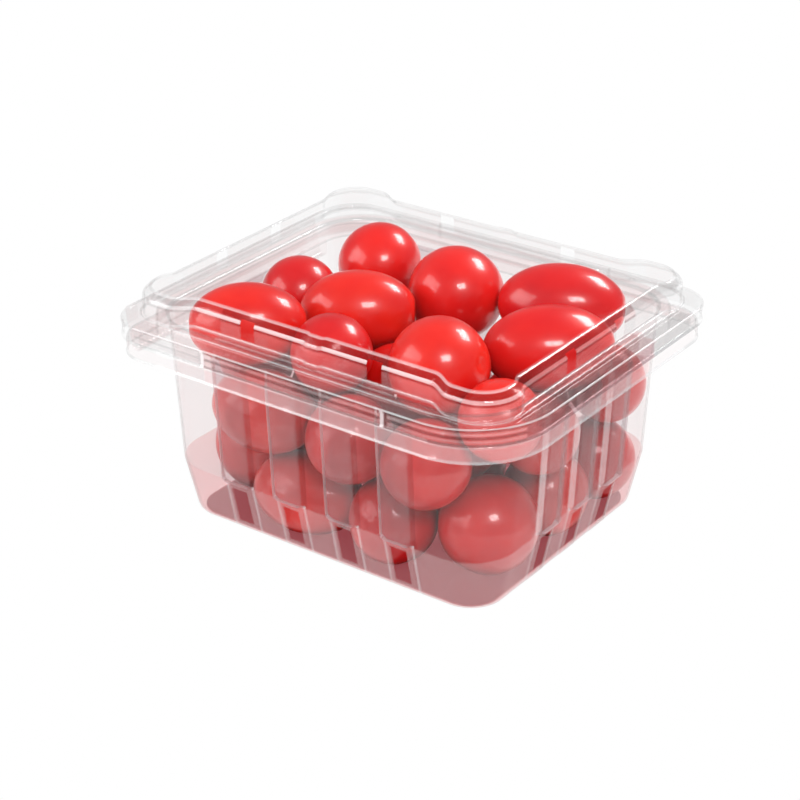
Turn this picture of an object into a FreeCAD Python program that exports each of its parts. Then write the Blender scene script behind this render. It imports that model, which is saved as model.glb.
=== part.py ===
import FreeCAD, Part
import Sketcher
import math
import os

# A clear hinged pack of thermoformed sheet, closed, and full of small tomatoes.
# Millimetres. X runs along the long sides, the hinge is at the low X end, Z is up.
# The origin is on the floor, under the middle of the tray.

os.makedirs("parts", exist_ok=True)
doc = FreeCAD.newDocument("clamshell_pack")

# Driving dimensions

sheet = doc.addObject("Spreadsheet::Sheet", "Sizes")
SIZES = (
    # the whole pack and its sheet
    ("pack_height", 80.0),
    ("gauge", 0.5),
    # tray, measured outside at its waist, where the ribs end
    ("waist_height", 19.0),
    ("waist_length", 126.0),
    ("waist_width", 103.6),
    ("waist_corner", 16.0),
    ("wall_draft", 3.0),
    ("foot_draft", 12.5),
    ("foot_rounding", 3.5),
    # upright ribs pressed outward in the tray walls, the outer ones so far from the ends
    ("rib_depth", 2.2),
    ("rib_rounding", 1.2),
    ("long_rib_width", 13.0),
    ("long_rib_end", 31.8),
    ("short_rib_width", 12.0),
    ("short_rib_end", 33.4),
    # drain slots in the foot, one below each rib
    ("slot_width", 6.2),
    ("slot_sill", 3.6),
    ("slot_tall", 13.4),
    # rim of the tray
    ("bead_height", 7.0),
    ("bead_width", 4.0),
    ("tray_flange_reach", 7.8),
    ("tray_lip_drop", 5.5),
    # lid above the tray, its corner posts measured outward from the tray's mouth
    ("lid_rise", 9.5),
    ("post_reach_long", 3.6),
    ("post_reach_wide", 3.3),
    ("post_corner", 12.0),
    ("long_panel_end", 19.0),
    ("long_panel_inset", 4.3),
    ("long_panel_slant", 9.0),
    ("short_panel_end", 12.8),
    ("short_panel_inset", 1.8),
    ("short_panel_slant", 5.0),
    ("panel_rounding", 8.0),
    ("lid_bevel", 2.5),
    # rim of the lid
    ("rim_clearance", 0.3),
    ("lid_flange_drop", 1.2),
    ("lid_flange_overhang", 1.4),
    ("rim_corner", 12.6),
    ("lift_corner", 26.5),
    ("lid_lip_drop", 5.2),
    # vents through the lid's bevel and wall
    ("vent_width", 5.6),
    ("vent_sill", 0.6),
    ("vent_tall", 6.6),
    ("long_vent_end", 39.0),
    ("short_vent_end", 37.8),
    # hinge band
    ("hinge_end", 2.8),
    ("hinge_bulge", 4.2),
    ("hinge_gap", 0.3),
    ("hinge_end_clearance", 0.5),
    ("gutter_drop", 10.5),
    ("gutter_lean", 2.6),
    # tomatoes
    ("round_size", 28.5),
    ("big_size", 32.0),
    ("small_size", 26.0),
    ("plum_length", 38.0),
    ("plum_thickness", 27.0),
    ("long_plum_length", 42.0),
    ("long_plum_thickness", 28.0),
    ("fruit_gap", 0.3),
)
for row, (alias, value) in enumerate(SIZES, start=1):
    sheet.set("A%d" % row, alias)
    sheet.set("B%d" % row, repr(value))
    sheet.setAlias("B%d" % row, alias)
doc.recompute()


def size(alias):
    """The number in the sheet's cell of that name."""
    return float(sheet.get(alias))


def cell(alias):
    """How an expression names that cell."""
    return "Sizes." + alias


LONG_RIB_COUNT = 4
SHORT_RIB_COUNT = 3
VENT_COUNT = 2

# Sizes that follow from the driving ones, as expressions for the features

RIM_TOP = "(%s - %s)" % (cell("pack_height"), cell("lid_rise"))
TRAY_FLANGE_LEVEL = "(%s - %s)" % (RIM_TOP, cell("bead_height"))
WALL_RISE = "(%s - %s)" % (RIM_TOP, cell("waist_height"))
WALL_SLOPE = "tan(%s * 1 deg)" % cell("wall_draft")
FOOT_SLOPE = "tan(%s * 1 deg)" % cell("foot_draft")
LID_CEILING = "(%s + %s)" % (RIM_TOP, cell("rim_clearance"))
LID_FLANGE_LEVEL = "(%s - %s)" % (LID_CEILING, cell("lid_flange_drop"))


def widened(outline, offset):
    """The same outline, moved outward on every side by an offset."""
    length, width, *corners = outline
    sides = ["(%s + 2 * (%s))" % (side, offset) for side in (length, width)]
    return tuple(sides + ["(%s + (%s))" % (corner, offset) for corner in corners])


WAIST = (cell("waist_length"), cell("waist_width"), cell("waist_corner"))
MOUTH = widened(WAIST, "%s * %s" % (WALL_RISE, WALL_SLOPE))
BEAD = widened(MOUTH, cell("bead_width"))
# The rims have squarer corners than the bead, apart from the round one where the lid is lifted.
TRAY_FLANGE = widened(MOUTH, cell("tray_flange_reach"))[:2] + (cell("rim_corner"), cell("lift_corner"))
LID_STEP = widened(BEAD, "%s + %s" % (cell("rim_clearance"), cell("gauge")))
LID_FLANGE = widened(TRAY_FLANGE, cell("lid_flange_overhang"))
POST_LENGTH = "(%s + 2 * %s)" % (MOUTH[0], cell("post_reach_long"))
POST_WIDTH = "(%s + 2 * %s)" % (MOUTH[1], cell("post_reach_wide"))
POSTS = (POST_LENGTH, POST_WIDTH, cell("post_corner"))
LONG_PANEL_HALF = "(%s / 2 - %s)" % (cell("waist_length"), cell("long_panel_end"))
SHORT_PANEL_HALF = "(%s / 2 - %s)" % (cell("waist_width"), cell("short_panel_end"))
HINGE_WIDTH = "(%s - 2 * %s)" % (cell("waist_width"), cell("hinge_end"))

# Sketch helpers

PLANE_ROLES = {"XY": "XY_Plane", "XZ": "XZ_Plane", "YZ": "YZ_Plane"}


def new_body(label):
    body = doc.addObject("PartDesign::Body", label)
    body.Label = label
    return body


def new_sketch(body, name, plane, offset=None):
    """A sketch on one of the body's own planes, moved along its normal by an expression."""
    sketch = body.newObject("Sketcher::SketchObject", name)
    role = PLANE_ROLES[plane]
    support = [part for part in body.Origin.OriginFeatures if part.Role == role][0]
    sketch.AttachmentSupport = [(support, "")]
    sketch.MapMode = "FlatFace"
    if offset:
        sketch.setExpression("AttachmentOffset.Base.z", offset)
    return sketch


def dimension(sketch, constraint, expression):
    """A driving constraint of the sketch, bound to an expression."""
    index = sketch.addConstraint(constraint)
    sketch.setExpression("Constraints[%d]" % index, expression)


def rounded_outline(sketch, length, width, corner, lift_corner=None):
    """A rectangle with rounded corners, centred on the sketch's origin.

    A lift corner is the radius of the corner at high X and low Y, where that one differs.
    """
    half_x = 50.0
    half_y = 40.0
    arc = 10.0
    first = sketch.GeometryCount
    quarter = math.pi / 2
    near_x = half_x - arc
    near_y = half_y - arc
    corners = ((near_x, -near_y), (near_x, near_y), (-near_x, near_y), (-near_x, -near_y))
    ends = (
        ((-near_x, -half_y), (near_x, -half_y)),
        ((half_x, -near_y), (half_x, near_y)),
        ((near_x, half_y), (-near_x, half_y)),
        ((-half_x, near_y), (-half_x, -near_y)),
    )
    for side in range(4):
        start, end = ends[side]
        sketch.addGeometry(Part.LineSegment(FreeCAD.Vector(*start), FreeCAD.Vector(*end)))
        circle = Part.Circle(FreeCAD.Vector(*corners[side]), FreeCAD.Vector(0, 0, 1), arc)
        start_angle = (side - 1) * quarter
        sketch.addGeometry(Part.ArcOfCircle(circle, start_angle, start_angle + quarter))
    lines = [first + 2 * side for side in range(4)]
    arcs = [first + 2 * side + 1 for side in range(4)]
    for side in range(4):
        following = lines[(side + 1) % 4]
        sketch.addConstraint(Sketcher.Constraint("Tangent", lines[side], 2, arcs[side], 1))
        sketch.addConstraint(Sketcher.Constraint("Tangent", arcs[side], 2, following, 1))
    for index in (0, 2):
        sketch.addConstraint(Sketcher.Constraint("Horizontal", lines[index]))
        sketch.addConstraint(Sketcher.Constraint("Vertical", lines[index + 1]))
    for index, radius in enumerate((lift_corner or corner, corner, corner, corner)):
        dimension(sketch, Sketcher.Constraint("Radius", arcs[index], arc), radius)
    half_length = "(%s) / 2" % length
    half_width = "(%s) / 2" % width
    for first_line, second_line, kind, reach, half in (
        (lines[3], lines[1], "DistanceX", half_x, half_length),
        (lines[0], lines[2], "DistanceY", half_y, half_width),
    ):
        dimension(sketch, Sketcher.Constraint(kind, first_line, 1, -1, 1, reach), half)
        dimension(sketch, Sketcher.Constraint(kind, -1, 1, second_line, 1, reach), half)


def polygon(sketch, points):
    """A closed outline through points, each an (x, y) pair of expressions."""
    first = sketch.GeometryCount
    values = [(evaluate(x), evaluate(y)) for x, y in points]
    count = len(points)
    for index in range(count):
        start = FreeCAD.Vector(*values[index])
        end = FreeCAD.Vector(*values[(index + 1) % count])
        sketch.addGeometry(Part.LineSegment(start, end))
    for index in range(count):
        following = first + (index + 1) % count
        sketch.addConstraint(Sketcher.Constraint("Coincident", first + index, 2, following, 1))
    for index, (x, y) in enumerate(points):
        place = values[index]
        along = Sketcher.Constraint("DistanceX", -1, 1, first + index, 1, place[0])
        up = Sketcher.Constraint("DistanceY", -1, 1, first + index, 1, place[1])
        dimension(sketch, along, x)
        dimension(sketch, up, y)


def evaluate(expression):
    """The number that an expression gives with the sheet's present values."""
    result = sheet.evalExpression(expression)
    return float(getattr(result, "Value", result))


def pad(body, sketch, length, taper=None, both_ways=False):
    feature = body.newObject("PartDesign::Pad", sketch.Name + "_pad")
    feature.Profile = sketch
    if both_ways:
        feature.SideType = "Symmetric"
    feature.setExpression("Length", length)
    if taper:
        feature.setExpression("TaperAngle", taper)
    sketch.Visibility = False
    return feature


def cut_through(body, sketch):
    """Cut a sketch's outlines right through the body, both ways."""
    feature = body.newObject("PartDesign::Pocket", sketch.Name + "_cut")
    feature.Profile = sketch
    feature.SideType = "Symmetric"
    feature.Type = "ThroughAll"
    sketch.Visibility = False
    return feature


def ring(body, name, level, height, outer, inner):
    """A flat or upright band between two rounded outlines."""
    sketch = new_sketch(body, name, "XY", level)
    rounded_outline(sketch, *outer)
    rounded_outline(sketch, *inner)
    return pad(body, sketch, height)


def plate(body, name, level, height, outline):
    """A plate of one rounded outline."""
    sketch = new_sketch(body, name, "XY", level)
    rounded_outline(sketch, *outline)
    return pad(body, sketch, height)


def rectangle(sketch, left, right, low, high):
    polygon(sketch, [(left, low), (right, low), (right, high), (left, high)])


NEAR = 0.01


def upright(edge):
    """True for a straight edge that runs mostly along Z."""
    if edge.Curve.TypeId != "Part::GeomLine":
        return False
    return abs(edge.tangentAt(edge.FirstParameter).z) > 0.9


def edge_names(shape, wanted):
    return ["Edge%d" % (i + 1) for i, edge in enumerate(shape.Edges) if wanted(edge)]


def rounded_edges(body, name, wanted, radius):
    """Round those edges of the body's last feature that a test picks."""
    doc.recompute()
    base = body.Tip
    feature = body.newObject("PartDesign::Fillet", name)
    feature.Base = (base, edge_names(base.Shape, wanted))
    feature.setExpression("Radius", radius)
    return feature


def bevelled_edges(body, name, wanted, reach):
    """Bevel those edges of the body's last feature that a test picks."""
    doc.recompute()
    base = body.Tip
    feature = body.newObject("PartDesign::Chamfer", name)
    feature.Base = (base, edge_names(base.Shape, wanted))
    feature.setExpression("Size", reach)
    return feature


def at_level(edge, level):
    """True where the whole edge lies at one height."""
    box = edge.BoundBox
    return math.isclose(box.ZMin, level, abs_tol=NEAR) and math.isclose(box.ZMax, level, abs_tol=NEAR)


# Tray: one drafted form, made outside and once more smaller by the gauge for the hollow

def places(count, side, end):
    """Even places about the middle of a side, the outer ones so far from its ends, as expressions."""
    outer = "(%s / 2 - %s)" % (cell(side), cell(end))
    return ["((%g) * %s)" % (2 * index / (count - 1) - 1, outer) for index in range(count)]


LONG_PLACES = places(LONG_RIB_COUNT, "waist_length", "long_rib_end")
SHORT_PLACES = places(SHORT_RIB_COUNT, "waist_width", "short_rib_end")


def add_ribs(body, side, plane, rib_places, waist_size, rib_width, inset):
    """Upright ribs that stand out of both opposite walls, each pair from one profile."""
    low = cell("waist_height")
    top = TRAY_FLANGE_LEVEL
    reach_low = "(%s / 2 + %s - %s)" % (waist_size, cell("rib_depth"), inset)
    reach_top = "(%s + (%s - %s) * %s)" % (reach_low, top, low, WALL_SLOPE)
    sill = "(%s + %s)" % (low, inset)
    for number, place in enumerate(rib_places, start=1):
        sketch = new_sketch(body, "%s_rib_%d" % (side, number), plane, place)
        points = [
            ("-" + reach_low, sill),
            (reach_low, sill),
            (reach_top, top),
            ("-" + reach_top, top),
        ]
        polygon(sketch, points)
        pad(body, sketch, "(%s - 2 * (%s))" % (rib_width, inset), both_ways=True)


def rib_edge(edge):
    """True for the outer edges of the ribs, upright or along their sills."""
    if edge.Curve.TypeId != "Part::GeomLine":
        return False
    box = edge.BoundBox
    low = size("waist_height")
    middle = edge.valueAt((edge.FirstParameter + edge.LastParameter) / 2)
    outward = (middle.z - low) * math.tan(math.radians(size("wall_draft")))
    reach = size("rib_depth") - size("gauge") - 0.1
    past_side = abs(middle.y) - outward - size("waist_width") / 2
    past_end = abs(middle.x) - outward - size("waist_length") / 2
    if max(past_side, past_end) < reach:
        return False
    if upright(edge):
        return True
    return box.ZMax < evaluate(TRAY_FLANGE_LEVEL) - 1


def tray_form(label, inset, top):
    """The tray's solid form up to a level, drawn in by an inset on its walls and floor."""
    body = new_body(label)
    low = cell("waist_height")
    waist = widened(WAIST, "-(%s)" % inset)
    foot_rise = "(%s - (%s))" % (low, inset)
    foot = widened(waist, "-(%s * %s)" % (foot_rise, FOOT_SLOPE))
    sketch = new_sketch(body, label + "_foot", "XY", inset)
    rounded_outline(sketch, *foot)
    pad(body, sketch, foot_rise, taper=cell("foot_draft"))
    floor = evaluate(inset)
    rounded_edges(body, label + "_sole", lambda edge: at_level(edge, floor),
                  "%s - (%s)" % (cell("foot_rounding"), inset))
    sketch = new_sketch(body, label + "_wall", "XY", low)
    rounded_outline(sketch, *waist)
    pad(body, sketch, "(%s - %s)" % (top, low), taper=cell("wall_draft"))
    add_ribs(body, label + "_long", "YZ", LONG_PLACES, cell("waist_width"),
             cell("long_rib_width"), inset)
    add_ribs(body, label + "_short", "XZ", SHORT_PLACES, cell("waist_length"),
             cell("short_rib_width"), inset)
    rounded_edges(body, label + "_rib_edges", rib_edge,
                  "%s - (%s)" % (cell("rib_rounding"), inset))
    return body


def add_slots(body):
    """Drain slots below the ribs, through both opposite walls at once."""
    low = cell("slot_sill")
    high = "(%s + %s)" % (low, cell("slot_tall"))
    for name, plane, slot_places in (("long_slots", "XZ", LONG_PLACES),
                                     ("short_slots", "YZ", SHORT_PLACES)):
        sketch = new_sketch(body, name, plane)
        for place in slot_places:
            half = "%s / 2" % cell("slot_width")
            rectangle(sketch, "(%s - %s)" % (place, half), "(%s + %s)" % (place, half), low, high)
        cut_through(body, sketch)


# Tray and lid both end just short of the crease that the lid turns about, so they stay
# clear of each other both closed and folded back.
CREASE_LEVEL = "((%s + %s + %s) / 2)" % (LID_FLANGE_LEVEL, TRAY_FLANGE_LEVEL, cell("gauge"))
CREASE_REACH = "(%s / 2 + %s)" % (LID_FLANGE[0], cell("hinge_bulge"))
HALF_GAP = "(%s / 2)" % cell("hinge_gap")
BAND_REACH = "(%s - %s)" % (CREASE_REACH, HALF_GAP)


def add_gutter(body, lip_low):
    """The tray's side of the hinge: its lip goes on down, turns outward and rises to the crease."""
    gauge = cell("gauge")
    lip_out = "(%s / 2)" % TRAY_FLANGE[0]
    lip_in = "(%s - %s)" % (lip_out, gauge)
    floor = "(%s - %s)" % (TRAY_FLANGE_LEVEL, cell("gutter_drop"))
    tip = "(%s - %s)" % (CREASE_LEVEL, HALF_GAP)
    heel = "(%s - %s)" % (BAND_REACH, cell("gutter_lean"))
    sketch = new_sketch(body, "hinge_gutter", "XZ")
    points = [
        ("-" + lip_out, "(%s + %s)" % (lip_low, gauge)),
        ("-" + lip_in, "(%s + %s)" % (lip_low, gauge)),
        ("-" + lip_in, floor),
        ("-" + heel, floor),
        ("-" + BAND_REACH, tip),
        ("-(%s - %s)" % (BAND_REACH, gauge), tip),
        ("-(%s - %s)" % (heel, gauge), "(%s + %s)" % (floor, gauge)),
        ("-" + lip_out, "(%s + %s)" % (floor, gauge)),
    ]
    polygon(sketch, points)
    pad(body, sketch, HINGE_WIDTH, both_ways=True)


def clear_lid_lip(body, lip_low):
    """Take the lid's lip away where the hinge band joins its flange."""
    sketch = new_sketch(body, "lid_hinge_gap", "XY", lip_low)
    half = "(%s / 2 + %s)" % (HINGE_WIDTH, cell("hinge_end_clearance"))
    edge = "(-(%s) / 2)" % LID_FLANGE[0]
    rectangle(sketch, "(%s - 1)" % edge, "(%s + %s)" % (edge, cell("gauge")), "-" + half, half)
    feature = body.newObject("PartDesign::Pocket", "lid_hinge_gap_cut")
    feature.Profile = sketch
    feature.Reversed = True
    feature.setExpression("Length", "(%s - %s)" % (LID_FLANGE_LEVEL, lip_low))


def add_lid_band(body):
    """The lid's side of the hinge: a band from its flange's edge down to the crease."""
    gauge = cell("gauge")
    root = "(%s / 2 - %s)" % (LID_FLANGE[0], gauge)
    tip = "(%s + %s)" % (CREASE_LEVEL, HALF_GAP)
    sketch = new_sketch(body, "lid_band", "XZ")
    points = [
        ("-" + root, LID_FLANGE_LEVEL),
        ("-" + root, "(%s + %s)" % (LID_FLANGE_LEVEL, gauge)),
        ("-" + BAND_REACH, "(%s + %s)" % (tip, gauge)),
        ("-" + BAND_REACH, tip),
    ]
    polygon(sketch, points)
    pad(body, sketch, HINGE_WIDTH, both_ways=True)


def make_tray():
    gauge = cell("gauge")
    flange_top = "(%s + %s)" % (TRAY_FLANGE_LEVEL, gauge)
    outer = tray_form("tray_outside", "0", RIM_TOP)
    inner_bead = widened(BEAD, "-" + gauge)
    inner_flange = widened(TRAY_FLANGE, "-" + gauge)
    ring(outer, "bead_top", "(%s - %s)" % (RIM_TOP, gauge), gauge,
         BEAD, widened(MOUTH, "-0.5 * " + gauge))
    ring(outer, "bead_side", TRAY_FLANGE_LEVEL, cell("bead_height"), BEAD, inner_bead)
    ring(outer, "tray_flange", TRAY_FLANGE_LEVEL, gauge, TRAY_FLANGE, inner_bead)
    lip_low = "(%s - %s)" % (TRAY_FLANGE_LEVEL, cell("tray_lip_drop"))
    ring(outer, "tray_lip", lip_low, "(%s - %s)" % (flange_top, lip_low), TRAY_FLANGE, inner_flange)
    add_gutter(outer, lip_low)
    add_slots(outer)
    hollow = tray_form("tray_hollow", gauge, "(%s + 1)" % RIM_TOP)
    tray = doc.addObject("Part::Cut", "base_tray")
    tray.Base = outer
    tray.Tool = hollow
    tray.Label = "base_tray"
    return tray


# Lid: one bevelled form with corner posts, made outside and once more for the hollow

def panel_recess(sketch, across, half_panel, panel_at, slant, inset_depth, past):
    """The recess outside one flat panel, a trapezoid with slanted ends."""
    run = "((%s) - %s) * %s / %s" % (past, panel_at, slant, inset_depth)
    near = "(%s)" % half_panel
    far = "(%s + %s)" % (half_panel, run)
    for sign in ("", "-"):
        corners = [
            ("-" + near, sign + panel_at),
            (near, sign + panel_at),
            (far, sign + "(%s)" % past),
            ("-" + far, sign + "(%s)" % past),
        ]
        if across:
            corners = [(y, x) for x, y in corners]
        polygon(sketch, corners)


def slant_edge(edge):
    """True for the upright edges at both ends of the slants beside the panels."""
    if not upright(edge):
        return False
    point = edge.valueAt(edge.FirstParameter)
    past_long = abs(point.x) - evaluate(LONG_PANEL_HALF)
    past_short = abs(point.y) - evaluate(SHORT_PANEL_HALF)
    beside_long = -1 < past_long < size("long_panel_slant") + 1.5
    beside_short = -1 < past_short < size("short_panel_slant") + 1.2
    on_long = abs(point.y) > evaluate(POST_WIDTH) / 2 - size("long_panel_inset") - 1
    on_short = abs(point.x) > evaluate(POST_LENGTH) / 2 - size("short_panel_inset") - 1
    return (beside_long and on_long) or (beside_short and on_short)


def lid_form(label, inset, base):
    """The lid's solid form above a level, drawn in by an inset on its walls and top."""
    body = new_body(label)
    top = "(%s - (%s))" % (cell("pack_height"), inset)
    plate(body, label + "_posts", base, "(%s - %s)" % (top, base),
          widened(POSTS, "-(%s)" % inset))
    sketch = new_sketch(body, label + "_panels", "XY", base)
    long_at = "(%s / 2 - %s - (%s))" % (POST_WIDTH, cell("long_panel_inset"), inset)
    short_at = "(%s / 2 - %s - (%s))" % (POST_LENGTH, cell("short_panel_inset"), inset)
    panel_recess(sketch, False, LONG_PANEL_HALF, long_at, cell("long_panel_slant"),
                 cell("long_panel_inset"), POST_WIDTH + " / 2 + 1")
    panel_recess(sketch, True, SHORT_PANEL_HALF, short_at, cell("short_panel_slant"),
                 cell("short_panel_inset"), POST_LENGTH + " / 2 + 1")
    cut_through(body, sketch)
    rounded_edges(body, label + "_slants", slant_edge, cell("panel_rounding"))
    level = evaluate(top)
    bevelled_edges(body, label + "_bevel", lambda edge: at_level(edge, level),
                   "(%s - 0.586 * (%s))" % (cell("lid_bevel"), inset))
    return body


def add_vents(body, base):
    """Vents through the bevel and wall of opposite sides."""
    low = "(%s + %s + %s)" % (base, cell("gauge"), cell("vent_sill"))
    high = "(%s + %s)" % (low, cell("vent_tall"))
    half = "%s / 2" % cell("vent_width")
    for name, plane, side, end in (("long_vents", "XZ", "waist_length", "long_vent_end"),
                                   ("short_vents", "YZ", "waist_width", "short_vent_end")):
        sketch = new_sketch(body, name, plane)
        for place in places(VENT_COUNT, side, end):
            rectangle(sketch, "(%s - %s)" % (place, half), "(%s + %s)" % (place, half), low, high)
        cut_through(body, sketch)


def make_lid():
    gauge = cell("gauge")
    outer = lid_form("lid_outside", "0", LID_CEILING)
    plate(outer, "lid_step", LID_FLANGE_LEVEL,
          "(%s + %s)" % (cell("lid_flange_drop"), gauge), LID_STEP)
    plate(outer, "lid_flange", LID_FLANGE_LEVEL, gauge, LID_FLANGE)
    lip_low = "(%s - %s)" % (LID_FLANGE_LEVEL, cell("lid_lip_drop"))
    ring(outer, "lid_lip", lip_low, "(%s + %s)" % (cell("lid_lip_drop"), gauge),
         LID_FLANGE, widened(LID_FLANGE, "-" + gauge))
    clear_lid_lip(outer, lip_low)
    add_lid_band(outer)
    add_vents(outer, LID_CEILING)
    hollow = lid_form("lid_hollow", gauge, LID_CEILING)
    below = "(%s - 1)" % LID_FLANGE_LEVEL
    plate(hollow, "bead_room", below, "(%s - %s)" % (LID_CEILING, below),
          widened(LID_STEP, "-" + gauge))
    lid = doc.addObject("Part::Cut", "lid")
    lid.Base = outer
    lid.Tool = hollow
    lid.Label = "lid"
    return lid


# Tomatoes: an ellipsoid each, let down into the closed pack until they rest on each other

KINDS = {
    "round": ("round_size", "round_size"),
    "big": ("big_size", "big_size"),
    "small": ("small_size", "small_size"),
    "plum": ("plum_length", "plum_thickness"),
    "long_plum": ("long_plum_length", "long_plum_thickness"),
}

# Kind, start place as x, y and layer, and the turn of the long axis in degrees.
# The third layer is what shows through the lid, so its places are held more firmly.
FRUIT = (
    ("big", -45, -33, 0, 0),
    ("plum", -13, -36, 0, 8),
    ("round", 17, -35, 0, 0),
    ("big", 45, -31, 0, 0),
    ("round", -47, 1, 0, 0),
    ("round", -16, -5, 0, 0),
    ("plum", 15, -4, 0, 70),
    ("round", 45, 3, 0, 0),
    ("plum", -41, 35, 0, 10),
    ("round", -9, 28, 0, 0),
    ("round", 19, 34, 0, 0),
    ("round", 47, 34, 0, 0),
    ("small", -51, -18, 1, 0),
    ("plum", -30, -37, 1, 0),
    ("round", 2, -36, 1, 0),
    ("round", 31, -36, 1, 0),
    ("small", 52, -14, 1, 0),
    ("round", -30, -9, 1, 0),
    ("round", -1, -10, 1, 0),
    ("small", 28, -8, 1, 0),
    ("round", -33, 19, 1, 0),
    ("small", -22, 41, 1, 0),
    ("round", 5, 20, 1, 0),
    ("round", 32, 20, 1, 0),
    ("small", 53, 36, 1, 0),
    ("plum", -44, -27, 2, 38),
    ("small", -49, 2, 2, 0),
    ("round", -37, 33, 2, 0),
    ("plum", -16, -2, 2, 34),
    ("small", -11, -29, 2, 0),
    ("big", -3, 30, 2, 0),
    ("big", 20, -17, 2, 0),
    ("long_plum", 29, 37, 2, 25),
    ("long_plum", 44, 9, 2, 40),
    ("small", 48, -25, 2, 0),
)
LAYER_LEVELS = (16.0, 41.0, 66.0)
LID_WATCH = 6.0
HOLD = (0.03, 0.03, 0.3)
FALL = 0.25
FALLING_STEPS = 260
EASING_STEPS = 320


class Fruit:
    """One tomato, felt as a short chain of balls inside its ellipsoid."""

    def __init__(self, kind, x, y, layer, turn):
        long_cell, thick_cell = KINDS[kind]
        self.half_long = size(long_cell) / 2
        self.half_thick = size(thick_cell) / 2
        self.home = (x, y)
        self.hold = HOLD[layer]
        self.turn = turn
        self.place = [float(x), float(y), LAYER_LEVELS[layer]]
        self.balls = self.chain()

    def chain(self):
        """Offsets and radii of the balls that touch the ellipsoid from inside."""
        spare = self.half_long ** 2 - self.half_thick ** 2
        if spare < 1:
            return [((0.0, 0.0, 0.0), self.half_thick)]
        along = (math.cos(math.radians(self.turn)), math.sin(math.radians(self.turn)), 0.0)
        balls = []
        for share in (-1, -0.75, -0.4, 0, 0.4, 0.75, 1):
            reach = share * spare / self.half_long
            radius = self.half_thick * math.sqrt(max(0.0, 1 - reach ** 2 / spare))
            balls.append((tuple(reach * part for part in along), radius))
        return balls

    def centres(self):
        x, y, z = self.place
        return [(x + dx, y + dy, z + dz, radius) for (dx, dy, dz), radius in self.balls]

    def shift(self, dx, dy, dz):
        self.place[0] += dx
        self.place[1] += dy
        self.place[2] += dz


def part_pair(first, second, gap):
    """Push two tomatoes apart where they are nearer than the gap."""
    reach = first.half_long + second.half_long + gap
    apart = [b - a for a, b in zip(first.place, second.place)]
    if sum(step * step for step in apart) > reach * reach:
        return
    for x1, y1, z1, r1 in first.centres():
        for x2, y2, z2, r2 in second.centres():
            dx, dy, dz = x2 - x1, y2 - y1, z2 - z1
            distance = math.sqrt(dx * dx + dy * dy + dz * dz) or 0.001
            short = r1 + r2 + gap - distance
            if short > 0:
                share = 0.5 * short / distance
                first.shift(-dx * share, -dy * share, -dz * share)
                second.shift(dx * share, dy * share, dz * share)


class Room:
    """The inside of the closed pack, as the tomatoes meet it."""

    def __init__(self):
        gauge = size("gauge")
        self.floor = gauge
        self.ceiling = size("pack_height") - gauge - size("fruit_gap")
        self.waist_level = size("waist_height")
        self.rim_level = evaluate(RIM_TOP)
        self.half_x = size("waist_length") / 2 - gauge
        self.half_y = size("waist_width") / 2 - gauge
        self.corner = size("waist_corner") - gauge
        self.lid_half_x = evaluate(POST_LENGTH) / 2 - size("short_panel_inset") - gauge
        self.lid_half_y = evaluate(POST_WIDTH) / 2 - size("long_panel_inset") - gauge
        self.foot_slope = math.tan(math.radians(size("foot_draft")))
        self.wall_slope = math.tan(math.radians(size("wall_draft")))

    def walls_at(self, level):
        """Half length, half width and corner radius of the room at a level."""
        if level < self.waist_level:
            spread = (level - self.waist_level) * self.foot_slope
        else:
            spread = (min(level, self.rim_level) - self.waist_level) * self.wall_slope
        half_x = self.half_x + spread
        half_y = self.half_y + spread
        if level > self.rim_level - LID_WATCH:
            half_x = min(half_x, self.lid_half_x)
            half_y = min(half_y, self.lid_half_y)
        return half_x, half_y, self.corner + spread


def keep_inside(room, fruit, gap):
    """Move a tomato back inside the walls, floor and top."""
    for index in range(len(fruit.balls)):
        x, y, z, radius = fruit.centres()[index]
        half_x, half_y, corner = room.walls_at(z)
        slant = math.hypot(1, room.foot_slope) if z < room.waist_level else 1.0
        reach_needed = radius * slant + gap
        dx = min(0.0, half_x - reach_needed - abs(x))
        dy = min(0.0, half_y - reach_needed - abs(y))
        past_x = abs(x) + dx - (half_x - corner)
        past_y = abs(y) + dy - (half_y - corner)
        if past_x > 0 and past_y > 0:
            reach = math.hypot(past_x, past_y)
            over = reach - max(corner - reach_needed, 0.5)
            if over > 0:
                dx -= past_x * over / reach
                dy -= past_y * over / reach
        dz = max(0.0, room.floor + radius + gap - z) + min(0.0, room.ceiling - radius - z)
        fruit.shift(dx if x > 0 else -dx, dy if y > 0 else -dy, dz)


def settle():
    """Let all tomatoes down, then ease them apart."""
    gap = size("fruit_gap")
    room = Room()
    heap = [Fruit(*row) for row in FRUIT]
    for step in range(FALLING_STEPS + EASING_STEPS):
        falling = step < FALLING_STEPS
        for fruit in heap:
            if falling:
                home_x, home_y = fruit.home
                x, y, z = fruit.place
                fruit.shift((home_x - x) * fruit.hold, (home_y - y) * fruit.hold, -FALL)
        for first in range(len(heap)):
            for second in range(first + 1, len(heap)):
                part_pair(heap[first], heap[second], gap)
        for fruit in heap:
            keep_inside(room, fruit, gap)
    return heap


def make_tomatoes():
    """The settled tomatoes as ellipsoids, each a part of its own."""
    tomatoes = []
    for number, fruit in enumerate(settle(), start=1):
        long_cell, thick_cell = KINDS[FRUIT[number - 1][0]]
        tomato = doc.addObject("Part::Ellipsoid", "tomato_%02d" % number)
        tomato.Label = "tomato_%02d" % number
        tomato.Angle1 = -90
        tomato.Angle2 = 90
        tomato.setExpression("Radius1", cell(thick_cell) + " / 2")
        tomato.setExpression("Radius2", cell(long_cell) + " / 2")
        tomato.setExpression("Radius3", cell(thick_cell) + " / 2")
        turned = FreeCAD.Rotation(FreeCAD.Vector(0, 0, 1), fruit.turn)
        tomato.Placement = FreeCAD.Placement(FreeCAD.Vector(*fruit.place), turned)
        tomatoes.append(tomato)
    return tomatoes


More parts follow.
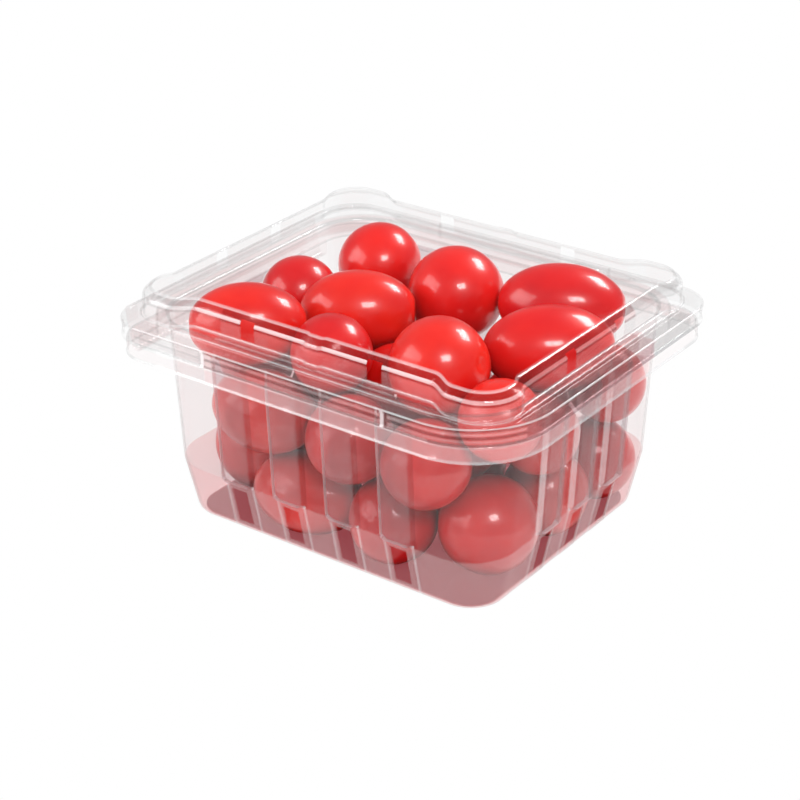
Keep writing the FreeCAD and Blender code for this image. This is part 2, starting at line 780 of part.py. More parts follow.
PIECES = [make_tray(), make_lid()] + make_tomatoes()
doc.recompute()
for item in doc.Objects:
    if "Invalid" in item.State or "Error" in item.State:
        raise RuntimeError("%s did not build" % item.Name)
for piece in PIECES:
    shape = piece.Shape
    if shape.isNull() or not shape.isValid() or len(shape.Solids) != 1:
        raise RuntimeError("%s is not one sound solid" % piece.Label)
for piece in PIECES:
    piece.Shape.exportStep("parts/%s.step" % piece.Label)
    print(piece.Label, round(piece.Shape.Volume), "cubic millimetres")
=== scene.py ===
import math
import random

import bpy
from mathutils import Matrix, Vector


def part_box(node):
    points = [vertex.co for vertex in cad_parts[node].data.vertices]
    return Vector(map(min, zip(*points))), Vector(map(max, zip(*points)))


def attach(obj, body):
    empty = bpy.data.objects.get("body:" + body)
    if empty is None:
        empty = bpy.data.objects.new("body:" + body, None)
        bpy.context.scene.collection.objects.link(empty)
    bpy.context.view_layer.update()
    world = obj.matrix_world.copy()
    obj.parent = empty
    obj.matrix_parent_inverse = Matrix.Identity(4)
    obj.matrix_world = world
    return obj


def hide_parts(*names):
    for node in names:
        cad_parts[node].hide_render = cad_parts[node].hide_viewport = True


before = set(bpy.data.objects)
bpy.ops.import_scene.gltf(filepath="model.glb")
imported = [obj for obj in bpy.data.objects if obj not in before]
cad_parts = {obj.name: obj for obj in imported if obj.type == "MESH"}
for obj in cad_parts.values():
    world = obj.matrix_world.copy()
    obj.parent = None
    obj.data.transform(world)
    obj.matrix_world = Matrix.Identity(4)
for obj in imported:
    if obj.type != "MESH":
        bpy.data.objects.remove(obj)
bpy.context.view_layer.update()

# Lengths in this script are millimetres, as on the drawing of the pack. MM turns them to metres.
MM = 0.001

# Camera: the photograph's view, fitted to the pack's outline
VIEW_AZIMUTH = math.radians(36.12)
VIEW_ELEVATION = math.radians(26.82)
VIEW_ROLL = math.radians(-0.32)
VIEW_TARGET = Vector((-0.1, -7.48, 40.0)) * MM
VIEW_DISTANCE = 0.671
SENSOR_WIDTH = 36.0
LENS = 94.05

# The sheet, and how finely it is divided
GAUGE = 0.45
CORNER_STEPS = 24
COLUMN_SPACING = 1.3
ARC_ROWS = 4
HINGE_STEPS = 24
SHARP_ANGLE = math.radians(48)

# Tray, outside
CORE_X = 47.0
CORE_Y = 35.8
WAIST_CORNER = 16.0
WAIST_LEVEL = 19.0
WALL_DRAFT = math.tan(math.radians(3.0))
FOOT_DRAFT = math.tan(math.radians(12.5))
MOUTH_LEVEL = 70.5
RIB_DEPTH = 2.2
LONG_RIBS = tuple(20.8 * step for step in (-1.5, -0.5, 0.5, 1.5))
SHORT_RIBS = tuple(18.4 * step for step in (-1, 0, 1))
LONG_RIB_HALF = 6.5
SHORT_RIB_HALF = 6.0
SLOT_HALF = 3.1
SLOT_LOW = 3.6
SLOT_HIGH = 17.0
BEAD_REACH = 4.0
FLANGE_LEVEL = 63.5
FLANGE_REACH = 7.8
LIP_LOW = 58.0
LIP_FLARE = 0.4
LIP_FLARE_HEIGHT = 0.8
RIM_CORNER = 12.6
LIFT_CORNER = 26.5
MOUTH_CORNER = WAIST_CORNER + (MOUTH_LEVEL - WAIST_LEVEL) * WALL_DRAFT

# Roundings of the tray's profile, and where it has rows of its own
SOLE_INSETS = (6.0, 4.5)
FOOT_ROUNDING = 3.2
TRAY_ROUNDING = 0.8
FLANGE_ROUNDING = 0.7
LIP_ROUNDING = 0.4
FOOT_LEVELS = (SLOT_LOW, 6.0, 8.5, 11.0, 13.5, SLOT_HIGH, 17.8)
SILL_SHARES = (0.006, 0.012, 0.02, 0.03)
WALL_ROWS = 26

# Ribs of the tray walls, the low ridges below them, and the painted highlight lines along their edges
RIB_SILL = WAIST_LEVEL - 0.4
RIB_ROUNDING = 2.6
RIB_SLANT = 1.1
RIB_FADE = (61.0, 63.4)
RIB_STEPS = (0.1, -0.3, -0.7, -1.2, -1.5, -2.3)
SLOT_STEP = 0.5
RIB_LINE = 0.8
SILL_LINE = 0.8
RIDGE_HEIGHT = 0.6
RIDGE_INSET = 1.4
RIDGE_SLANT = 0.8
RIDGE_RISE = (0.6, 2.6)
RIDGE_FADE = (WAIST_LEVEL - 1.5, WAIST_LEVEL - 0.5)
RIDGE_LINE = (0.7, 1.5)

# Lid, outside
POST_X = 69.3
POST_Y = 57.8
POST_CORNER = 12.0
LID_TOP = 80.0
LID_BEVEL = 2.5
LONG_PANEL = 44.0
LONG_INSET = 4.3
LONG_SLANT = 9.0
SHORT_PANEL = 39.0
SHORT_INSET = 1.8
SHORT_SLANT = 5.0
STEP_TOP = 71.3
LID_FLANGE_TOP = 70.1
LID_LIP_LOW = 64.4
LID_OVERHANG = 1.4
STEP_REACH = 4.8
VENT_HALF = 2.8
VENT_LOW = 71.8
VENT_HIGH = 78.5
VENT_INNER = 2.2
VENT_SHARES = (0.12, 0.4, 0.76)
LONG_VENTS = (-24.0, 24.0)
SHORT_VENTS = (-14.0, 14.0)
LONG_SLANT_STEPS = 12
SHORT_SLANT_STEPS = 7
BULGE_OUT = 0.7
BULGE_START = (-2.0, -1.2)
BULGE_END = (3.8, 4.6)
POST_CLEARANCE = 1.0
BEVEL_ROUNDING = 1.7
TOP_ROUNDING = 1.6
TOP_SHARES = (0.2, 0.5)
WALL_FOOT_ROUNDING = 0.45

# Rim of the lid: its lip, and the low ridge on its step along the middle of the long sides
LID_LIP_INSET = 0.4
LID_LIP_FOOT = 0.7
LID_LIP_DROPS = (1.4, 1.0)
LID_LIP_ROUNDING = 0.3
LID_LIP_ROWS = 8
LID_EDGE_ROUNDING = 0.6
STEP_ROUNDING = 0.5
LID_RIDGE_HEIGHT = 0.7
LID_RIDGE_HALF = 0.8
LID_RIDGE_SHARE = 0.3
LID_RIDGE_TOP = 0.6
LID_RIDGE_ROUNDING = 0.2
RIM_PANEL = 34.0
RIM_PANEL_SLANT = 0.6
RIM_PANEL_STEPS = (-0.6, -0.2, 0.2, 0.6)
# Painted light on the lip: a painted highlight line and painted shade where the middle panel ends, and
# stripes of painted shade, painted highlight and painted red light up its face
LIP_LINE_HALF = 0.6
LIP_SHADE_END = 1.2
LIP_STRIPE = 0.55
LIP_PAINTED_STRIPES = ("dark", "blush", "band", "blush")

# Between these the camera sees fruit behind the near rim, where the sheet gets reddish painted shade and the
# fruit's painted red light: X on the front side, Y on the right one
FRUIT_LEFT = -35.3
FRUIT_RIGHT = 22.0

# Hinge
HINGE_HALF = 49.0
CREASE_X = -79.099
CREASE_Z = 66.8
CREASE_GAP = 0.15
GUTTER_LEVEL = 53.0
GUTTER_LEAN = 2.6
GUTTER_OVERLAP = 1.2
GUTTER_ROUNDING = 1.2
HEEL_ROUNDING = 1.6
BAND_DIP = 0.3
BAND_DIP_LEVEL = 68.6
BAND_OVERLAP = 0.6

# Tomatoes: a scar where the stem was, a dimple opposite it and shallow dents between the lobes
RINGS = 40
SPOKES = 48
ROUND_LIMIT = 1.05
STEM_LEAN = (-0.5, 1.1)
LOBES = (2, 3, 5)
DENT_SIZES = (0.003, 0.008)
SCAR_DEPTH = 0.07
SCAR_WIDTH = 0.16
DIMPLE_DEPTH = 0.012
DIMPLE_WIDTH = 0.12

# Numbers of the corners of the tray's profile, counted from the middle of its floor
FOOT_CORNER = 3
WAIST = 4
MOUTH = 5
TRAY_EDGE = 8

# The same for the lid's profile, counted from the low edge of its lip. The rows after a corner have
# its number and a half, ROW.
LIP_FACE = 1
LIP_TOP = 3
LID_EDGE = 4
STEP_EDGE = 6
WALL_FOOT = 11
BEVEL_FOOT = 12
TOP_EDGE = 13
ROW = 0.5


def smooth(value, low, high):
    """0 below low, 1 above high and an eased slope between."""
    share = min(1.0, max(0.0, (value - low) / (high - low)))
    return share * share * (3 - 2 * share)


# Sheets are lofted: columns stand round the pack, and each column has the same rows up its profile

SIDE_ANGLES = (-math.pi / 2, 0.0, math.pi / 2, math.pi)


def evenly_filled(marks, spacing):
    """The marks in order, with places added between them so that no step is wider than the spacing."""
    marks = sorted(set(round(mark, 3) for mark in marks))
    filled = [marks[0]]
    for mark in marks[1:]:
        count = max(1, math.ceil((mark - filled[-1]) / spacing - 0.01))
        start = filled[-1]
        filled += [start + (mark - start) * step / count for step in range(1, count + 1)]
    return filled


class Column:
    """A place on the core rectangle and the way its profile faces."""

    def __init__(self, x, y, angle, side=None, along=None):
        self.x = x
        self.y = y
        self.across = math.cos(angle)
        self.up = math.sin(angle)
        self.side = side
        self.along = along

    def at(self, reach, level):
        return ((self.x + self.across * reach) * MM, (self.y + self.up * reach) * MM, level * MM)


def columns_round(core_x, core_y, long_marks, short_marks):
    """All columns, counter-clockwise seen from above, from the front left corner on."""
    columns = []
    for side, angle in enumerate(SIDE_ANGLES):
        across, up = math.cos(angle), math.sin(angle)
        half, reach = (core_x, core_y) if side % 2 == 0 else (core_y, core_x)
        marks = long_marks if side % 2 == 0 else short_marks
        marks = [mark for mark in marks if abs(mark) < half] + [-half, half]
        sign = 1 if side < 2 else -1
        for mark in evenly_filled(marks, COLUMN_SPACING):
            x = across * reach - up * mark
            y = up * reach + across * mark
            columns.append(Column(x, y, angle, side, sign * mark))
        x, y = columns[-1].x, columns[-1].y
        for step in range(1, CORNER_STEPS):
            columns.append(Column(x, y, angle + math.pi / 2 * step / CORNER_STEPS))
    return columns


# The search for a rim: how far out it begins, and how often it halves
FARTHEST_REACH = 60.0
HALVINGS = 30


def rounded_box_distance(x, y, half_x, half_y, corner, front_corner):
    """How far a place lies outside a rounded rectangle. The corner at high X and low Y has its own radius."""
    radius = front_corner if x > 0 > y else corner
    past_x = abs(x) - half_x + radius
    past_y = abs(y) - half_y + radius
    return math.hypot(max(past_x, 0.0), max(past_y, 0.0)) + min(max(past_x, past_y), 0.0) - radius


def reach_to(column, half_x, half_y, corner, front_corner=None):
    """How far along a column's direction a rounded rectangle lies, found by halving."""
    low, high = 0.0, FARTHEST_REACH
    front_corner = front_corner or corner
    for _ in range(HALVINGS):
        middle = (low + high) / 2
        x = column.x + column.across * middle
        y = column.y + column.up * middle
        if rounded_box_distance(x, y, half_x, half_y, corner, front_corner) > 0:
            high = middle
        else:
            low = middle
    return low


# Finishes of the sheet, and painted light laid on it face by face: how much light a face lets by (as one
# part, or as red, green and blue), how milky it is and how strongly it mirrors
FINISHES_AND_PAINTED_LIGHT = {
    "window": (0.992, 0.0, 0.05),
    "pane": (0.96, 0.035, 0.35),
    "faint": (0.978, 0.008, 0.25),
    "rim": ((0.985, 0.97, 0.97), 0.002, 0.3),
    "wall": ((0.975, 0.962, 0.962), 0.004, 0.5),
    "rib": ((0.87, 0.82, 0.83), 0.042, 0.5),
    # Milky, with the fruit's red light painted in as a pink tint
    "foot": ((0.97, 0.86, 0.86), 0.075, 0.5),
    # Painted shade and the fruit's painted red light, seen through the tray's floor
    "sole": ((0.57, 0.26, 0.28), 0.045, 0.3),
    # Faint painted highlight lines and bands, on the far sides and before the white floor
    "muted": (0.93, 0.02, 0.4),
    # The fruit's red light, painted in as a pink tint
    "blush": ((0.96, 0.875, 0.875), 0.02, 0.4),
    # Painted shade: reddish before fruit, grey before the white floor
    "brown": ((0.80, 0.74, 0.74), 0.035, 0.3),
    "maroon": ((0.82, 0.72, 0.73), 0.008, 0.3),
    "wine": ((0.88, 0.78, 0.78), 0.004, 0.3),
    "grey": (0.84, 0.03, 0.4),
    # A pale pink painted band, also used as a faint painted highlight line
    "band": ((0.97, 0.89, 0.89), 0.08, 0.6),
    # Painted highlight lines along rounded edges, from faint to bright
    "line": (0.97, 0.18, 0.7),
    "light": ((0.97, 0.93, 0.93), 0.28, 0.7),
    "glint": ((1.0, 0.9, 0.9), 0.42, 0.8),
    # Painted shade: dark lines beside the painted highlight lines, and dark bands
    "edge": (0.89, 0.005, 0.4),
    "dark": ((0.76, 0.68, 0.68), 0.005, 0.3),
}

# What the lid's painted shade and painted highlight lines become where the white floor lies behind them, and
# on its far sides
PAINTED_LIGHT_OVER_WHITE = {"dark": "edge", "brown": "grey", "maroon": "grey", "blush": "faint",
              "pane": "faint", "band": "muted"}
PAINTED_LIGHT_FAR = {"dark": "faint", "maroon": "faint", "blush": "faint", "pane": "faint", "band": "faint",
       "light": "muted", "line": "muted"}
FINISH_NAMES = list(FINISHES_AND_PAINTED_LIGHT)
FAR_TURN = 0.3


def lies_far(column):
    """True on the two sides that face away from the camera, and on the corners' parts that do."""
    return column.up > FAR_TURN or column.across < -FAR_TURN


def lies_over_fruit(column):
    """True where the camera sees fruit behind the near rim, and not the white floor."""
    return not lies_far(column) and column.x > FRUIT_LEFT and column.y < FRUIT_RIGHT


# The largest part of the straight beside a corner that its rounding takes
ARC_SHARE = 0.46


class Key:
    """A corner of a profile: how far out, how high, its rounding and the levels of the rows after it."""

    def __init__(self, reach, level, radius=0.0, rows=()):
        self.reach = reach
        self.level = level
        self.radius = radius
        self.rows = rows


def rounded_profile(keys):
    """Points (reach, level, key number) along a profile with its corners rounded."""
    points = []
    last = len(keys) - 1
    for number, key in enumerate(keys):
        if key.radius and 0 < number < last:
            before, after = keys[number - 1], keys[number + 1]
            come = Vector((key.reach - before.reach, key.level - before.level))
            go = Vector((after.reach - key.reach, after.level - key.level))
            half_turn = come.angle(go, 0.0) / 2
            room = ARC_SHARE * min(come.length, go.length)
            cut = min(key.radius * math.tan(half_turn), room)
            start = Vector((key.reach, key.level)) - come.normalized() * cut
            end = Vector((key.reach, key.level)) + go.normalized() * cut
            middle = Vector((key.reach, key.level))
            for step in range(ARC_ROWS + 1):
                share = step / ARC_ROWS
                weight = 2 * share * (1 - share) * math.cos(half_turn)
                total = (1 - share) ** 2 + share ** 2 + weight
                place = (start * (1 - share) ** 2 + middle * weight + end * share ** 2) / total
                points.append((place.x, place.y, number))
        else:
            points.append((key.reach, key.level, number))
        if number < last:
            after = keys[number + 1]
            for row in key.rows:
                points.append((key.reach + (after.reach - key.reach) * row,
                               key.level + (after.level - key.level) * row, number + ROW))
    return points


def sheet_object(name, points, faces, finishes):
    """A thin sheet of the pack's gauge, thickened inward from the faces given."""
    mesh = bpy.data.meshes.new(name)
    mesh.from_pydata(points, [], faces)
    mesh.update()
    for finish in FINISH_NAMES:
        mesh.materials.append(bpy.data.materials["sheet_" + finish])
    for polygon, finish in zip(mesh.polygons, finishes):
        polygon.material_index = FINISH_NAMES.index(finish)
    piece = bpy.data.objects.new(name, mesh)
    bpy.context.scene.collection.objects.link(piece)
    thicken = piece.modifiers.new("gauge", "SOLIDIFY")
    thicken.thickness = GAUGE * MM
    thicken.offset = -1.0
    thicken.use_quality_normals = True
    shape = bpy.data.meshes.new_from_object(piece.evaluated_get(bpy.context.evaluated_depsgraph_get()))
    piece.modifiers.clear()
    piece.data = shape
    shape.name = name
    for polygon in shape.polygons:
        polygon.use_smooth = True
    shape.set_sharp_from_angle(angle=SHARP_ANGLE)
    return piece


def loft(columns, profile_of, is_open, finish_of):
    """Points, faces and finishes of a lofted sheet. is_open tells where a hole leaves faces out."""
    profiles = [profile_of(column) for column in columns]
    rows = len(profiles[0])
    points = []
    for column, profile in zip(columns, profiles):
        for reach, level, _ in profile:
            points.append(column.at(reach, level))
    faces = []
    finishes = []
    count = len(columns)
    for number in range(count):
        following = (number + 1) % count
        for row in range(rows - 1):
            if is_open(columns[number], columns[following], profiles[number][row], profiles[number][row + 1]):
                continue
            faces.append((number * rows + row, following * rows + row,
                          following * rows + row + 1, number * rows + row + 1))
            finishes.append(finish_of(columns[number], columns[following],
                                      profiles[number][row], profiles[number][row + 1]))
    return points, faces, finishes, rows


# Tray

# Which painted highlight line a rib's lit edge gets on the front, right, back and hinge side
RIB_PAINTED_HIGHLIGHTS = ("glint", "line", "band", "band")


def rib_height(side, along, level):
    """How far a tray wall stands out at a place on one of its sides."""
    if side is None:
        return 0.0
    ribs, half = (LONG_RIBS, LONG_RIB_HALF) if side % 2 == 0 else (SHORT_RIBS, SHORT_RIB_HALF)
    height = 0.0
    for place in ribs:
        out = abs(along - place)
        if out > half + 1:
            continue
        past_side = out - half + RIB_ROUNDING
        past_sill = RIB_SILL - level + RIB_ROUNDING
        distance = math.hypot(max(past_side, 0.0), max(past_sill, 0.0)) \
            + min(max(past_side, past_sill), 0.0) - RIB_ROUNDING
        height = RIB_DEPTH * smooth(-distance, 0.0, RIB_SLANT) * (1 - smooth(level, *RIB_FADE))
        ridge = RIDGE_HEIGHT * smooth(half - RIDGE_INSET - out, 0.0, RIDGE_SLANT) \
            * smooth(level, *RIDGE_RISE) * (1 - smooth(level, *RIDGE_FADE))
        height = max(height, ridge)
    return height


def tray_profile(column):
    """The outside of the tray from the middle of its floor to the low edge of its rim."""
    foot = WAIST_CORNER - WAIST_LEVEL * FOOT_DRAFT
    mouth = WAIST_CORNER + (MOUTH_LEVEL - GAUGE - WAIST_LEVEL) * WALL_DRAFT
    bead = mouth + BEAD_REACH - GAUGE
    half_x = CORE_X + mouth + FLANGE_REACH - GAUGE
    half_y = CORE_Y + mouth + FLANGE_REACH - GAUGE
    rim = reach_to(column, half_x, half_y, RIM_CORNER - GAUGE, LIFT_CORNER - GAUGE)
    foot_shares = [level / WAIST_LEVEL for level in FOOT_LEVELS]
    wall_shares = [*SILL_SHARES, *(row / WALL_ROWS for row in range(1, WALL_ROWS))]
    keys = [
        Key(0.0, 0.0, rows=(0.5,)),
        Key(foot - SOLE_INSETS[0], 0.0),
        Key(foot - SOLE_INSETS[1], 0.0),
        Key(foot, 0.0, FOOT_ROUNDING, rows=foot_shares),
        Key(WAIST_CORNER, WAIST_LEVEL, TRAY_ROUNDING, rows=wall_shares),
        Key(mouth, MOUTH_LEVEL - GAUGE, TRAY_ROUNDING),
        Key(bead, MOUTH_LEVEL - GAUGE, TRAY_ROUNDING, rows=(0.5,)),
        Key(bead, FLANGE_LEVEL, FLANGE_ROUNDING),
        Key(rim, FLANGE_LEVEL, FLANGE_ROUNDING, rows=(0.5,)),
        Key(rim, LIP_LOW + LIP_FLARE_HEIGHT, LIP_ROUNDING),
        Key(rim + LIP_FLARE, LIP_LOW),
    ]
    profile = []
    for reach, level, key in rounded_profile(keys):
        if FOOT_CORNER <= key <= WAIST + ROW:
            reach += rib_height(column.side, column.along, level)
        profile.append((reach, level, key))
    return profile


def in_slot(first, second, low, high):
    """True for a face inside a drain slot."""
    if first.side is None or first.side != second.side or not FOOT_CORNER <= low[2] < WAIST:
        return False
    along = (first.along + second.along) / 2
    level = (low[1] + high[1]) / 2
    places = LONG_RIBS if first.side % 2 == 0 else SHORT_RIBS
    return any(abs(along - place) < SLOT_HALF for place in places) and SLOT_LOW < level < SLOT_HIGH


def rib_marks(places, half):
    """Where columns stand so that ribs and slots have clean edges."""
    steps = [half + step for step in RIB_STEPS] + [SLOT_HALF, SLOT_HALF - SLOT_STEP]
    return [place + sign * step for place in places for step in steps for sign in (-1, 1)]


def tray_finish_and_painted_light(first, second, low, high):
    """What a face of the tray looks like: its finish, with painted highlight lines, painted shade and the
    fruit's painted red light where they fall.
    """
    key = low[2]
    level = (low[1] + high[1]) / 2
    turning = low[2] == high[2]
    # The floor: painted shade and the fruit's painted red light
    if key < FOOT_CORNER:
        return "sole"
    # Painted shade along the tray's mouth, and reddish painted shade on the right side's rim before fruit
    if key == MOUTH and turning:
        return "dark" if lies_over_fruit(first) else "edge"
    if MOUTH <= key < TRAY_EDGE:
        return "wine" if first.side == 1 and lies_over_fruit(first) else "rim"
    # The rim: a painted highlight line along its edge, fainter on the far sides, and a pale painted band
    # before fruit
    if key >= TRAY_EDGE:
        if key == TRAY_EDGE and turning or key > TRAY_EDGE + ROW:
            return "muted" if lies_far(first) else "line"
        return "band" if lies_over_fruit(first) else "rim"
    # Ribs: a painted highlight line on the lit edge and painted shade on the other, and painted highlight
    # lines along the sill and beside the ridges below
    if first.side is not None and first.side == second.side:
        along = (first.along + second.along) / 2
        places, half = (LONG_RIBS, LONG_RIB_HALF) if first.side % 2 == 0 else (SHORT_RIBS, SHORT_RIB_HALF)
        gap = min((along - place for place in places), key=abs)
        from_edge = half - abs(gap)
        if RIB_SILL < level < FLANGE_LEVEL and from_edge > 0:
            if from_edge < RIB_LINE:
                return RIB_PAINTED_HIGHLIGHTS[first.side] if gap < 0 else "edge"
            if level < WAIST_LEVEL + SILL_LINE:
                return "glint" if first.side < 2 else "line"
            return "rib"
        if level < RIB_SILL and RIDGE_LINE[0] < from_edge < RIDGE_LINE[1]:
            return "line"
    # The foot: milky, with the fruit's red light painted in as a pink tint
    return "foot" if key < WAIST else "wall"


def make_tray():
    """The tray with its floor and its side of the hinge."""
    columns = columns_round(CORE_X, CORE_Y, rib_marks(LONG_RIBS, LONG_RIB_HALF),
                            rib_marks(SHORT_RIBS, SHORT_RIB_HALF))
    points, faces, finishes, rows = loft(columns, tray_profile, in_slot, tray_finish_and_painted_light)
    faces.append(tuple(number * rows for number in reversed(range(len(columns)))))
    gutter, gutter_faces = gutter_sheet(len(points))
    # The floor's middle carries painted shade and the fruit's painted red light
    finishes += ["sole"] + ["wall"] * len(gutter_faces)
    return sheet_object("clear_tray", points + gutter, faces + gutter_faces, finishes)


def strip(path, half_width, first):
    """Points and faces of a band of sheet along a path of (x, z) places, numbered from first on."""
    points = []
    faces = []
    steps = HINGE_STEPS
    for x, level in path:
        for step in range(steps + 1):
            points.append((x * MM, (half_width - 2 * half_width * step / steps) * MM, level * MM))
    for row in range(len(path) - 1):
        for step in range(steps):
            start = first + row * (steps + 1) + step
            faces.append((start, start + 1, start + steps + 2, start + steps + 1))
    return points, faces


def gutter_sheet(first):
    """The tray's side of the hinge: from its lip down, outward and up to the crease."""
    lip = -(CORE_X + MOUTH_CORNER + FLANGE_REACH)
    tip = CREASE_X + CREASE_GAP
    heel = tip + GUTTER_LEAN
    keys = [
        Key(lip + GAUGE, LIP_LOW + GUTTER_OVERLAP, rows=(0.5,)),
        Key(lip + GAUGE, GUTTER_LEVEL, GUTTER_ROUNDING),
        Key(heel, GUTTER_LEVEL, HEEL_ROUNDING, rows=(0.25, 0.5, 0.75)),
        Key(tip, CREASE_Z - CREASE_GAP),
    ]
    path = [(reach, level) for reach, level, _ in rounded_profile(keys)]
    return strip(path, HINGE_HALF, first)


# Lid

def wall_inset(side, along):
    """How far a lid wall stands back from its corner posts at a place along it."""
    if side is None:
        return 0.0
    if side % 2 == 0:
        inset = LONG_INSET * (1 - smooth(abs(along), LONG_PANEL, LONG_PANEL + LONG_SLANT))
        return inset - BULGE_OUT * (smooth(along, *BULGE_START) - smooth(along, *BULGE_END))
    return SHORT_INSET * (1 - smooth(abs(along), SHORT_PANEL, SHORT_PANEL + SHORT_SLANT))


def lid_profile(column):
    """The outside of the lid from the low edge of its rim to the middle of its top."""
    rim_x = CORE_X + MOUTH_CORNER + FLANGE_REACH + LID_OVERHANG
    rim_y = CORE_Y + MOUTH_CORNER + FLANGE_REACH + LID_OVERHANG
    rim = reach_to(column, rim_x, rim_y, RIM_CORNER + LID_OVERHANG, LIFT_CORNER + LID_OVERHANG)
    step_x = CORE_X + MOUTH_CORNER + STEP_REACH
    step_y = CORE_Y + MOUTH_CORNER + STEP_REACH
    wall = POST_CORNER - wall_inset(column.side, column.along)
    step = max(reach_to(column, step_x, step_y, MOUTH_CORNER + STEP_REACH), POST_CORNER + POST_CLEARANCE)
    lip = rim - LID_LIP_INSET
    ridge_top = STEP_TOP
    if column.side in (0, 2):
        edges = (RIM_PANEL - RIM_PANEL_SLANT, RIM_PANEL + RIM_PANEL_SLANT)
        ridge_top += LID_RIDGE_HEIGHT * (1 - smooth(abs(column.along), *edges))
    middle = (wall + step) / 2
    ridge = min(LID_RIDGE_HALF, (step - wall) * LID_RIDGE_SHARE)
    lip_shares = [row / LID_LIP_ROWS for row in range(1, LID_LIP_ROWS)]
    bevel_share = (VENT_HIGH - LID_TOP + LID_BEVEL) / LID_BEVEL
    keys = [
        Key(rim, LID_LIP_LOW),
        Key(lip, LID_LIP_LOW + LID_LIP_FOOT, LID_LIP_ROUNDING, rows=lip_shares),
        Key(lip, LID_FLANGE_TOP - LID_LIP_DROPS[0], LID_LIP_ROUNDING),
        Key(rim, LID_FLANGE_TOP - LID_LIP_DROPS[1], LID_LIP_ROUNDING),
        Key(rim, LID_FLANGE_TOP, LID_EDGE_ROUNDING, rows=(0.5,)),
        Key(step, LID_FLANGE_TOP, STEP_ROUNDING),
        Key(step, STEP_TOP, STEP_ROUNDING),
        Key(middle + ridge, STEP_TOP, LID_RIDGE_ROUNDING),
        Key(middle + ridge * LID_RIDGE_TOP, ridge_top, LID_RIDGE_ROUNDING),
        Key(middle - ridge * LID_RIDGE_TOP, ridge_top, LID_RIDGE_ROUNDING),
        Key(middle - ridge, STEP_TOP, LID_RIDGE_ROUNDING),
        Key(wall, STEP_TOP, WALL_FOOT_ROUNDING, rows=VENT_SHARES),
        Key(wall, LID_TOP - LID_BEVEL, BEVEL_ROUNDING, rows=(bevel_share,)),
        Key(wall - LID_BEVEL, LID_TOP, TOP_ROUNDING, rows=TOP_SHARES),
        Key(0.0, LID_TOP),
    ]
    return rounded_profile(keys)


def in_vent(first, second, low, high):
    """True for a face inside a vent of the lid."""
    if first.side is None or first.side != second.side or not WALL_FOOT <= low[2] < TOP_EDGE:
        return False
    along = (first.along + second.along) / 2
    level = (low[1] + high[1]) / 2
    places = LONG_VENTS if first.side % 2 == 0 else SHORT_VENTS
    return any(abs(along - place) < VENT_HALF for place in places) and VENT_LOW < level < VENT_HIGH


def in_hinge(first, second, low):
    """True for a face of the lid's lip where the hinge takes its place."""
    ends = (first.at(low[0], low[1]), second.at(low[0], low[1]))
    return low[2] < LID_EDGE and all(x < -CORE_X * MM and abs(y) < HINGE_HALF * MM for x, y, _ in ends)


def lid_finish_and_painted_light(first, second, low, high):
    """What a face of the lid looks like. Its painted shade and painted highlight lines are fainter on the far
    sides, which show against the light, and paler where the white floor lies behind them.
    """
    finish = near_lid_finish_and_painted_light(first, second, low, high)
    if lies_far(first):
        return PAINTED_LIGHT_FAR.get(finish, finish)
    if not lies_over_fruit(first):
        return PAINTED_LIGHT_OVER_WHITE.get(finish, finish)
    return finish


def near_lid_finish_and_painted_light(first, second, low, high):
    """What a face of the lid looks like where it is near the camera and before fruit: painted highlight lines
    along its rounded edges, painted shade on its bevel and lip, and the fruit's painted red light on its step
    and lip.
    """
    key = low[2]
    turning = low[2] == high[2]
    side = first.side if first.side == second.side else None
    along = (first.along + second.along) / 2 if side is not None else 0.0
    long_side = side in (0, 2)
    short_side = side in (1, 3)
    # Painted highlight lines along the top's edge and the bevel's foot, and painted shade on the bevel and
    # just below it
    if key == TOP_EDGE and turning:
        return "band" if short_side else "line"
    if key >= TOP_EDGE:
        return "window"
    if key == BEVEL_FOOT and turning:
        if long_side and abs(along) < LONG_PANEL and not BULGE_START[0] < along < BULGE_END[1]:
            return "light"
        return "band" if short_side else "line"
    if key >= BEVEL_FOOT:
        return "dark"
    if key == WALL_FOOT and turning:
        return "line"
    if key >= WALL_FOOT:
        return "dark" if high[2] == BEVEL_FOOT else "pane"
    # Painted highlight lines along the rim's edge and the step's edge, and the fruit's painted red light or
    # brownish painted shade on the step
    if key == LID_EDGE and turning:
        return "light"
    if key == STEP_EDGE and turning:
        return "line"
    if key >= LID_EDGE:
        return "brown" if side == 1 and key < STEP_EDGE else "blush"
    # The lip: reddish painted shade on the short sides, a painted highlight line and painted shade where the
    # middle panel ends, and stripes of painted shade, painted highlight and painted red light
    if short_side:
        return "maroon"
    past_end = abs(along) - RIM_PANEL
    if abs(past_end) < LIP_LINE_HALF and long_side:
        return "light"
    if LIP_LINE_HALF < past_end < LIP_SHADE_END and long_side:
        return "dark"
    if LIP_FACE <= key < LIP_TOP:
        level = (low[1] + high[1]) / 2
        stripe = int((level - LID_LIP_LOW) / LIP_STRIPE)
        return LIP_PAINTED_STRIPES[stripe % len(LIP_PAINTED_STRIPES)]
    return "dark"


def left_out_of_lid(first, second, low, high):
    """True for a face that the lid's loft leaves out, for a vent or for the hinge."""
    return in_vent(first, second, low, high) or in_hinge(first, second, low)


